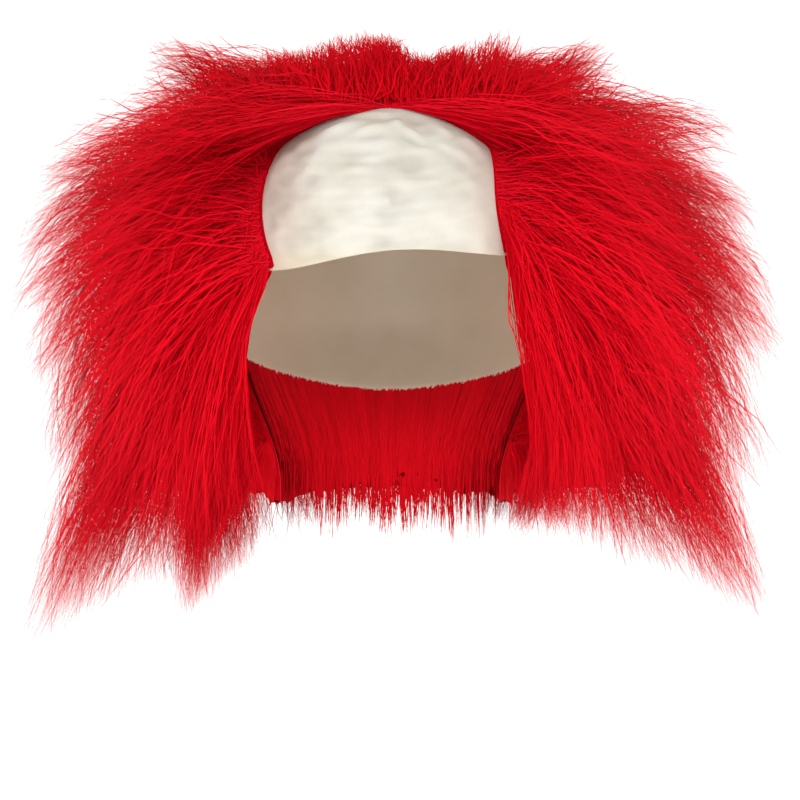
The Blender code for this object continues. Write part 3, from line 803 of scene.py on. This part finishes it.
def ribbons(name, points, share, width, tone, tone_width, look, inner=False):
    """One mesh of flat strands. tone, from 0 to 1, picks each strand's colour, and tone_width is
    how far it changes across the strand. inner is for strands seen from inside the hair."""
    count, steps = points.shape[0], points.shape[1] - 1
    heading = unit(np.gradient(points, axis=1))
    outward = unit(points - CENTRE)
    shaded = unit(points - (INNER_CENTRE if inner else SHADE_CENTRE))
    aside = unit(np.cross(heading, outward))
    above = np.cross(aside, heading)
    twist = FLAT_TWIST if tone_width > THIN_TONE else THIN_TWIST
    turn = rng.uniform(-twist, twist, (count, 1)) + rng.uniform(-twist, twist, (count, 1)) * share
    across = aside * np.cos(turn)[..., None] + above * np.sin(turn)[..., None]
    facing = above * np.cos(turn)[..., None] - aside * np.sin(turn)[..., None]
    normals = unit(SOFTNESS * shaded + (1.0 - SOFTNESS) * facing)
    along = np.linspace(0, 1, steps + 1)[None, :]
    half = 0.5 * width[:, None] * (1.0 - NARROWING * along ** NARROWING_POWER)
    edge = across * half[..., None]
    edges = np.stack([points - edge, points + edge], axis=2)
    first = (np.arange(count)[:, None] * (steps + 1) + np.arange(steps)[None, :]) * 2
    quads = stacked(first, first + 1, first + 3, first + 2).reshape(-1, 4)
    tone = np.clip(tone, MAP_EDGE, 1.0 - MAP_EDGE - tone_width)
    sides = np.tile([0.0, tone_width], count * (steps + 1))
    ways = blend(MAP_EDGE, 1.0 - MAP_EDGE, np.repeat(share.reshape(-1), 2))
    uv = stacked(np.repeat(tone, (steps + 1) * 2) + sides, ways)[quads.ravel()]
    normals = np.repeat(normals.reshape(-1, 3), 2, axis=0)
    return mesh_object(name, edges.reshape(-1, 3), quads, look, uv, normals)


def tones(group, middle):
    """Colours of strands: a middle, from which locks stray by one step and strands by another."""
    lock = LOCK_TONE * rng.normal(size=group.max() + 1)
    return middle + lock[group] + STRAND_TONE * rng.normal(size=len(group))


def drawn(name, points, share, group, style, look):
    """The strands along these paths, waved, sized and coloured in a style."""
    points = crimped(points, share, group, style)
    width = rng.uniform(*style.width, len(points))
    return ribbons(name, points, share, width, tones(group, style.tone), style.tone_width, look)


def grown(name, locks, style, look):
    """The strands between these roots and tips."""
    points, share = sweep(locks, style.steps, style.rise)
    return drawn(name, points, share, locks.group, style, look)


# The layers of a section: how many locks and strands, how many degrees a strand's tip strays from
# its lock's tip and its root from the lock's root, the share of the way at which it comes out of
# the base, and its shape and colour
Layer = namedtuple("Layer", "name locks strands scatter loose gather start shortest steps rise "
                            "crimp wavelength width tone tone_width sway", defaults=(1.0,))
LAYERS = [
    Layer("cover", 190, 4200, 4.0, 1.0, 6.0, (0.0, 0.24), 0.76, 7, (0.62, 0.95), (0.0002, 0.0008),
          (0.022, 0.038), (0.0005, 0.0011), 0.55, 0.05),
    Layer("locks", 160, 5000, 2.0, 2.0, 4.5, (0.02, 0.50), 0.84, 8, (0.75, 1.25), (0.0003, 0.0010),
          (0.014, 0.026), (0.0003, 0.0007), 0.56, 0.03),
    Layer("wisps", 150, 4200, 1.1, 2.8, 3.5, (0.42, 0.74), 0.88, 10, (0.8, 1.6), (0.0003, 0.0011),
          (0.009, 0.018), (0.00018, 0.00038), 0.58, 0.004),
]

# Azimuths between which the sections lie, and how dense the back is
SIDE_SECTION = (52, 128)
BACK_SECTION = (112, 248)
BACK_DENSITY = 0.68


def dress(node, side, low, high, look, scale=1.0):
    """Cover, locks and wisps of one section of hair. side is 1 on the wearer's left, else -1."""
    return [grown(f"{node}_{layer.name}", locks(side, low, high, layer, scale), layer, look)
            for layer in LAYERS]


def edging(node, side, look):
    """The strands along the hairline of one side."""
    return [grown(f"{node}_{row.name}", fringe(side, row), row, look) for row in FRINGES]


# Lining. It ends in a ragged hem, longer in the middle. Lengths are shares of the rows of roots.

LINING_STRANDS = 2600
LINING_CLUMPS = 46
LINING_STEPS = 6
LINING_SHARE = 0.8
LINING_TUCK = 0.004
LINING_MARGIN = 0.004
LINING_END = 0.95
LINING_RAGGED = 0.13
LINING_LONGER = 0.06
LINING_BESIDE = 0.06
LINING_FADE = 0.24
CLUMP_MIDDLES = (0.2, 0.8)
CLUMPING = 0.40
LINING_SWAY = 0.018
LINING_TURN = 5.0
LINING_HEIGHTS = (0.0004, 0.0013)
LINING_WIDTHS = (0.0006, 0.0014)
LINING_TONE = 0.16
LINING_TONE_WIDTH = 0.04


def lining(look):
    """Strands on the inner side of the hair below the cap, seen through the open front."""
    across = rng.uniform(LINING_MARGIN, 1.0 - LINING_MARGIN, LINING_STRANDS)[:, None]
    clump = (across * LINING_CLUMPS).astype(int)
    middles = np.arange(LINING_CLUMPS) + rng.uniform(*CLUMP_MIDDLES, LINING_CLUMPS)
    middle = (middles / LINING_CLUMPS)[clump]
    longer = LINING_LONGER * rng.uniform(0, 1, LINING_CLUMPS)[clump]
    place = root_point(across, np.full_like(across, LINING_SHARE))
    rim = rim_depth(azimuth_of(place)) - LINING_TUCK
    start = LOWER_ROWS + (1.0 - LOWER_ROWS) * (rim - LOWER_DEPTH) / (HEM_DEPTH - LOWER_DEPTH)
    inward = smooth((np.minimum(across, 1.0 - across) - LINING_BESIDE) / LINING_FADE)
    end = LINING_END + (LINING_RAGGED * rng.uniform(0, 1, across.shape) + longer) * inward
    way = np.linspace(0, 1, LINING_STEPS + 1)[None, :]
    share = start + (end - start) * way
    phase = rng.uniform(0, TURN, (LINING_STRANDS, 1))
    sway = LINING_SWAY * np.sin(way * LINING_TURN + phase)
    across = blend(across, middle, CLUMPING * way ** 2)
    across = across + sway * way * np.minimum(across, 1.0 - across)
    root = root_point(across, share)
    height = rng.uniform(*LINING_HEIGHTS, (LINING_STRANDS, 1, 1))
    points = root + head_normal(azimuth_of(root), -root[..., 2]) * height
    tone = tones(clump[:, 0], LINING_TONE)
    width = rng.uniform(*LINING_WIDTHS, LINING_STRANDS)
    ways = way + 0.0 * points[..., 0]
    return ribbons("hair_lining", points, ways, width, tone, LINING_TONE_WIDTH, look, inner=True)


# Crown

# The top of the crown's tufts in the photo's view, in metres: across and up
Crest = namedtuple("Crest", "across rise")
CRESTS = [Crest(*row) for row in (
    (-0.066, 0.020), (-0.054, 0.024), (-0.036, 0.026), (-0.018, 0.0335), (0.002, 0.030),
    (0.015, 0.019), (0.025, 0.024), (0.036, 0.027), (0.048, 0.035), (0.056, 0.024), (0.066, 0.022),
)]
Tufts = namedtuple("Tufts", "name strands steps start shortest width tone tone_width "
                            "crimp wavelength sway",
                   defaults=((0.0003, 0.0010), (0.008, 0.016), 0.6))
# The tufts' low tones, 0.14 and 0.20 against about 0.55 elsewhere, are painted shade that darkens
# the crown.
CROWN_LAYERS = [
    Tufts("cover", 2300, 7, (0.0, 0.2), 0.6, (0.0005, 0.0011), 0.14, 0.04),
    Tufts("wisps", 3000, 9, (0.0, 0.5), 0.80, (0.00022, 0.0005), 0.20, 0.004),
]
CROWN_LENGTH = 0.096
CROWN_HALF_WIDTH = 0.060
CROWN_TUFTS = 80
CROWN_CROWDING = 1.5
TUFT_SPREAD = 0.006
# How the depth of a root is found
FIRST_DEPTH = 0.02
MOST_DEPTH = 0.07
DEPTH_STEPS = 12
# How tufts and strands lean, and how the tufts fall off towards the back
TUFT_LEAN = 0.22
STRAND_LEAN = 0.07
OUTWARD_LEAN = 5.0
CREST_HEIGHT = 0.026
BACK_FALL = 0.35
BACK_FALL_START = 0.03
TUFT_GATHER = 0.6
BACKWARD = (0.0, 0.6)


def crown_root(across, back):
    """Roots on the crown at these places from above, behind the hairline."""
    turn = np.arctan2(across, -back)
    depth = np.full(len(across), FIRST_DEPTH)
    for _ in range(DEPTH_STEPS):
        around = from_axis(head_point(turn, depth))
        depth = np.clip(depth * (np.hypot(across, back) / around) ** 2, ROOT_START, MOST_DEPTH)
    limit = hairline_azimuth(depth, turn > 0.0)
    return on_cap(np.copysign(np.maximum(np.abs(turn), limit), turn), depth)


def crown_tufts(look):
    """The short hair that stands up behind the top of the bald front."""
    made = []
    for layer in CROWN_LAYERS:
        count = layer.strands
        tuft = rng.uniform(-CROWN_HALF_WIDTH, CROWN_HALF_WIDTH, CROWN_TUFTS)
        group = rng.integers(0, CROWN_TUFTS, count)
        across = tuft[group] + TUFT_SPREAD * rng.normal(size=count)
        back = HAIRLINE_CROWN_Y + CROWN_LENGTH * rng.uniform(0, 1, count) ** CROWN_CROWDING
        root = crown_root(across, back)
        lean = TUFT_LEAN * rng.normal(size=CROWN_TUFTS)[group]
        lean = lean + STRAND_LEAN * rng.normal(size=count) + OUTWARD_LEAN * tuft[group]
        crest = np.interp(tuft[group] + lean * CREST_HEIGHT, [row.across for row in CRESTS],
                          [row.rise for row in CRESTS])
        rise = crest * rng.uniform(layer.shortest, 1.0, count)
        rise = rise - BACK_FALL * np.maximum(back - BACK_FALL_START, 0.0)
        height = rise - root[:, 2]
        tip = stacked(blend(root[:, 0], tuft[group], TUFT_GATHER) + lean * height,
                      root[:, 1] + height * rng.uniform(*BACKWARD, count), rise)
        begin = rng.uniform(*layer.start, count)[:, None]
        share = begin + (1.0 - begin) * np.linspace(0, 1, layer.steps + 1)[None, :]
        points = blend(root[:, None, :], tip[:, None, :], share[..., None])
        made.append(drawn(f"hair_crown_{layer.name}", points, share, group, layer, look))
    return made


# Materials. A ramp's stops are a place from 0 to 1 and a colour.

HAIR_COLORS = [
    (0.05, (0.76, 0.0008, 0.008)),
    (0.40, (0.90, 0.0012, 0.012)),
    (0.70, (0.95, 0.0018, 0.016)),
    (0.98, (0.97, 0.0060, 0.024)),
]
# Painted shade: darker near the start of the map's second axis, at each strand's root, where it lies
# under the rest of the hair
PAINTED_ROOT_SHADE = [(0.0, (0.90, 0.90, 0.90)), (0.35, (1.0, 1.0, 1.0))]
HAIR_STREAKS = [(0.36, (0.84, 0.84, 0.84)), (0.60, (1.0, 1.0, 1.0))]
STREAK_STRETCH = (70.0, 3.0, 1.0)
LATEX_COLORS = [
    (0.30, (0.68, 0.64, 0.54)),
    (0.50, (0.76, 0.725, 0.635)),
    (0.70, (0.80, 0.77, 0.69)),
]
# Painted shade and light by the height of the latex's relief: darker and greyer in the creases and
# valleys, lighter on the ridges
PAINTED_RELIEF_SHADING = [
    (0.05, (0.79, 0.79, 0.785)),
    (0.45, (0.90, 0.90, 0.895)),
    (0.90, (0.95, 0.95, 0.95)),
]
# Where the latex takes a tint: outwards at the sides and downwards at its lower edge
SIDE_TINT = (0.030, 0.062, (0.80, 0.60, 0.50, 1.0))
RIM_TINT = (-0.070, -0.0765, (0.82, 0.70, 0.48, 1.0))
TINT_SHARE = 0.5


def set_inputs(tree, node, values):
    """Sets a node's inputs. A value may be a number, a colour or another node's output."""
    for name, value in values.items():
        if isinstance(value, bpy.types.NodeSocket):
            tree.links.new(value, node.inputs[name])
        else:
            node.inputs[name].default_value = value
    return node


def principled(name, roughness, specular):
    look = bpy.data.materials.new(name)
    look.use_nodes = True
    tree = look.node_tree
    shader = tree.nodes["Principled BSDF"]
    set_inputs(tree, shader, {"Roughness": roughness, "Specular IOR Level": specular})
    return look, tree, shader


def ramp(tree, source, stops):
    node = tree.nodes.new("ShaderNodeValToRGB")
    for _ in stops[2:]:
        node.color_ramp.elements.new(0.5)
    for element, (place, color) in zip(node.color_ramp.elements, stops):
        element.position = place
        element.color = (*color, 1.0)
    return set_inputs(tree, node, {"Fac": source}).outputs["Color"]


def mixed(tree, kind, factor, first, second):
    mix = tree.nodes.new("ShaderNodeMix")
    mix.data_type = "RGBA"
    mix.blend_type = kind
    return set_inputs(tree, mix, {"Factor": factor, "A": first, "B": second}).outputs["Result"]


def noise(tree, source, scale, detail):
    node = tree.nodes.new("ShaderNodeTexNoise")
    values = {"Vector": source, "Scale": scale, "Detail": detail}
    return set_inputs(tree, node, values).outputs["Fac"]


def ranged(tree, source, low, high, most=1.0):
    """A source brought from the range low to high to the range 0 to most."""
    node = tree.nodes.new("ShaderNodeMapRange")
    values = {"Value": source, "From Min": low, "From Max": high, "To Max": most}
    return set_inputs(tree, node, values).outputs["Result"]


def parts_of(tree, source):
    node = tree.nodes.new("ShaderNodeSeparateXYZ")
    return set_inputs(tree, node, {"Vector": source}).outputs


def bump(tree, height, strength, distance):
    node = tree.nodes.new("ShaderNodeBump")
    values = {"Height": height, "Strength": strength, "Distance": distance}
    return set_inputs(tree, node, values).outputs["Normal"]


def hair_look():
    """Each strand's colour comes from its place across the map, with painted shade towards its root,
    and fine streaks run along it.
    """
    look, tree, shader = principled("red_hair_strands", 0.60, 0.06)
    uv = tree.nodes.new("ShaderNodeUVMap")
    uv.uv_map = "OFBake"
    place = parts_of(tree, uv.outputs["UV"])
    color = ramp(tree, place["X"], HAIR_COLORS)
    # Painted shade towards the root of each strand
    along = ramp(tree, place["Y"], PAINTED_ROOT_SHADE)
    stretch = tree.nodes.new("ShaderNodeMapping")
    set_inputs(tree, stretch, {"Vector": uv.outputs["UV"], "Scale": STREAK_STRETCH})
    streaks = ramp(tree, noise(tree, stretch.outputs["Vector"], 1.0, 2.0), HAIR_STREAKS)
    color = mixed(tree, "MULTIPLY", 1.0, color, along)
    set_inputs(tree, shader, {"Base Color": mixed(tree, "MULTIPLY", 1.0, color, streaks),
                              "Normal": bump(tree, streaks, strength=0.5, distance=0.0008)})
    return look


def latex_look():
    """Ivory latex: mottled, a little pinker at the sides and warmer along its lower edge, with
    painted shade in its creases and valleys and a painted highlight on its ridges.
    """
    look, tree, shader = principled("ivory_latex", 0.42, 0.40)
    place = tree.nodes.new("ShaderNodeTexCoord").outputs["Object"]
    color = ramp(tree, noise(tree, place, 38.0, 5.0), LATEX_COLORS)
    split = parts_of(tree, place)
    away = tree.nodes.new("ShaderNodeMath")
    away.operation = "ABSOLUTE"
    set_inputs(tree, away, {"Value": split["X"]})
    for source, (low, high, tint) in ((away.outputs["Value"], SIDE_TINT), (split["Z"], RIM_TINT)):
        color = mixed(tree, "MIX", ranged(tree, source, low, high, TINT_SHARE), color, tint)
    # Painted shade in the creases and valleys and a painted highlight on the ridges, from the
    # relief's height
    relief = tree.nodes.new("ShaderNodeAttribute")
    relief.attribute_name = "relief"
    relief_painted_shading = ramp(tree, ranged(tree, relief.outputs["Fac"], -0.8, 1.0), PAINTED_RELIEF_SHADING)
    grain = noise(tree, place, 900.0, 3.0)
    set_inputs(tree, shader, {
        "Base Color": mixed(tree, "MULTIPLY", 1.0, color, relief_painted_shading),
        "Normal": bump(tree, grain, strength=0.25, distance=0.0003),
        "Subsurface Weight": 0.12,
        "Subsurface Radius": (0.004, 0.003, 0.002),
        "Subsurface Scale": 1.0,
    })
    return look


# Stage

BACKDROP_COLOR = (0.93, 0.93, 0.93, 1.0)

# Name, place, size and power of each lamp
LAMPS = [
    ("key", (-0.8, -2.2, 0.8), 1.2, 8.0),
    ("fill", (1.3, -2.0, 0.3), 1.8, 5.0),
    ("rear_left", (-1.6, 1.9, 1.2), 1.4, 5.0),
    ("rear_right", (1.6, 1.9, 1.2), 1.4, 5.0),
    ("top", (0.0, 0.2, 2.4), 1.8, 2.5),
]
LAMP_TARGET = Vector((0.0, 0.0, -0.1))

CAMERA_DISTANCE = 1.5
CAMERA_ELEVATION = 4.0
CAMERA_TARGET = np.array([0.0047, 0.0, -0.148])


def backdrop():
    """A wide pale bowl: a flat floor far below the wig that curves up into a wall all round."""
    look, tree, shader = principled("backdrop_white", 0.9, 0.1)
    set_inputs(tree, shader, {"Base Color": BACKDROP_COLOR, "Emission Color": BACKDROP_COLOR,
                              "Emission Strength": 0.36})
    hole, flat, radius, bend, floor, top, sides = 0.02, 1.5, 4.6, 1.6, -0.75, 4.5, 96
    outline = [(hole, floor), (flat, floor)]
    for turn in np.linspace(0.0, math.pi / 2.0, 14):
        outline.append((radius - bend + bend * math.sin(turn), floor + bend - bend * math.cos(turn)))
    outline.append((radius, top))
    out, up = np.array(outline).T[..., None]
    around = np.arange(sides) * TURN / sides
    points = stacked(out * np.cos(around), out * np.sin(around), up + 0.0 * around)
    quads = grid_quads(len(outline), sides, closed=True)[:, ::-1]
    made = mesh_object("backdrop", points.reshape(-1, 3), quads, look)


def studio():
    """Soft lamps round the wig and an even pale world."""
    for name, place, size, power in LAMPS:
        data = bpy.data.lights.new(name, "AREA")
        data.shape = "DISK"
        data.size = size
        data.energy = power
        made = added(name, data)
        made.location = place
        made.rotation_euler = (LAMP_TARGET - Vector(place)).to_track_quat("-Z", "Y").to_euler()
    world = bpy.data.worlds.new("studio")
    world.use_nodes = True
    shader = world.node_tree.nodes["Background"]
    set_inputs(world.node_tree, shader, {"Color": (1.0, 1.0, 1.0, 1.0), "Strength": 0.50})
    bpy.context.scene.world = world
    bpy.context.scene.view_settings.view_transform = "Standard"


def camera():
    """The photo's view, from the front and a little above."""
    data = bpy.data.cameras.new("camera")
    data.lens = 137.0
    data.sensor_width = 36.0
    data.clip_end = 50.0
    made = added("camera", data)
    tilt = math.radians(CAMERA_ELEVATION)
    made.location = CAMERA_TARGET + CAMERA_DISTANCE * np.array([0, -math.cos(tilt), math.sin(tilt)])
    made.rotation_euler = (math.pi / 2.0 - tilt, 0.0, 0.0)
    bpy.context.scene.camera = made


# Assembly

camera()
studio()
backdrop()

latex = latex_look()
red = hair_look()

cap = bald_cap(latex)
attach(cap, "root")
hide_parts("bald_cap")

base = hair_base(red)
inner = lining(red)
sections = {
    "hair_left": dress("hair_left", 1, *SIDE_SECTION, red) + edging("hair_left", 1, red),
    "hair_right": dress("hair_right", -1, *SIDE_SECTION, red) + edging("hair_right", -1, red),
    "hair_back": dress("hair_back", 1, *BACK_SECTION, red, BACK_DENSITY),
    "hair_crown": crown_tufts(red),
}
for node, pieces in sections.items():
    for piece in pieces:
        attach(piece, "root")
        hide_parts(node)
for piece in (base, inner):
    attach(piece, "root")
